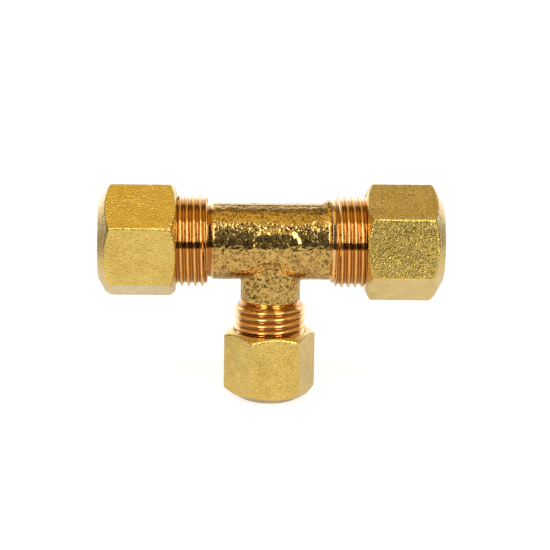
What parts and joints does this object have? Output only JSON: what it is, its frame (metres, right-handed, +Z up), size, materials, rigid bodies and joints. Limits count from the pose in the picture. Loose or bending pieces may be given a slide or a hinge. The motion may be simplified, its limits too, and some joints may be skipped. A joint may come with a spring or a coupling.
{
  "type": "compression fitting",
  "caption": "Brass reducing tee for compression joints: forged body with threaded ports, hexagonal nuts that screw off, and ferrules that grip tube pushed into each port.",
  "frame": {"origin": "centre of the branch nut's end face, on which the fitting stands", "axes": "+X along the run, +Z up along the branch's axis from its nut to the run, -Y towards the side with the blank marking pad"},
  "size_m": [0.0536, 0.0168, 0.0342],
  "materials": {
    "forged_brass": "rough forged skin, bright turned threads",
    "nut_brass": "satin, finely blasted flats",
    "ferrule_brass": "bright turned"
  },
  "bodies": {
    "tee": {"tee_body": "forged_brass"},
    "ferrule_left": {"ferrule_left": "ferrule_brass"},
    "nut_left": {"nut_left": "nut_brass"},
    "ferrule_right": {"ferrule_right": "ferrule_brass"},
    "nut_right": {"nut_right": "nut_brass"},
    "ferrule_branch": {"ferrule_branch": "ferrule_brass"},
    "nut_branch": {"nut_branch": "nut_brass"}
  },
  "joints": [
    {"name": "left_ferrule_slide", "type": "slide", "parent": "tee", "child": "ferrule_left", "axis": [-1, 0, 0], "range_m": [0, 0.00437]},
    {"name": "left_nut_turn", "type": "hinge", "parent": "ferrule_left", "child": "nut_left", "pos_m": [-0.01473, 0, 0.02508], "axis": [-1, 0, 0], "range_deg": [0, 1485]},
    {"name": "right_ferrule_slide", "type": "slide", "parent": "tee", "child": "ferrule_right", "axis": [1, 0, 0], "range_m": [0, 0.00437]},
    {"name": "right_nut_turn", "type": "hinge", "parent": "ferrule_right", "child": "nut_right", "pos_m": [0.01473, 0, 0.02508], "axis": [1, 0, 0], "range_deg": [0, 1485]},
    {"name": "branch_ferrule_slide", "type": "slide", "parent": "tee", "child": "ferrule_branch", "axis": [0, 0, -1], "range_m": [0, 0.00376]},
    {"name": "branch_nut_turn", "type": "hinge", "parent": "ferrule_branch", "child": "nut_branch", "pos_m": [0, 0, 0.01095], "axis": [0, 0, -1], "range_deg": [0, 1280]}
  ],
  "couplings": [
    {"joint": "left_ferrule_slide", "follows": "left_nut_turn", "m_per_rad": 0.00016844},
    {"joint": "right_ferrule_slide", "follows": "right_nut_turn", "m_per_rad": 0.00016844},
    {"joint": "branch_ferrule_slide", "follows": "branch_nut_turn", "m_per_rad": 0.00016844}
  ]
}
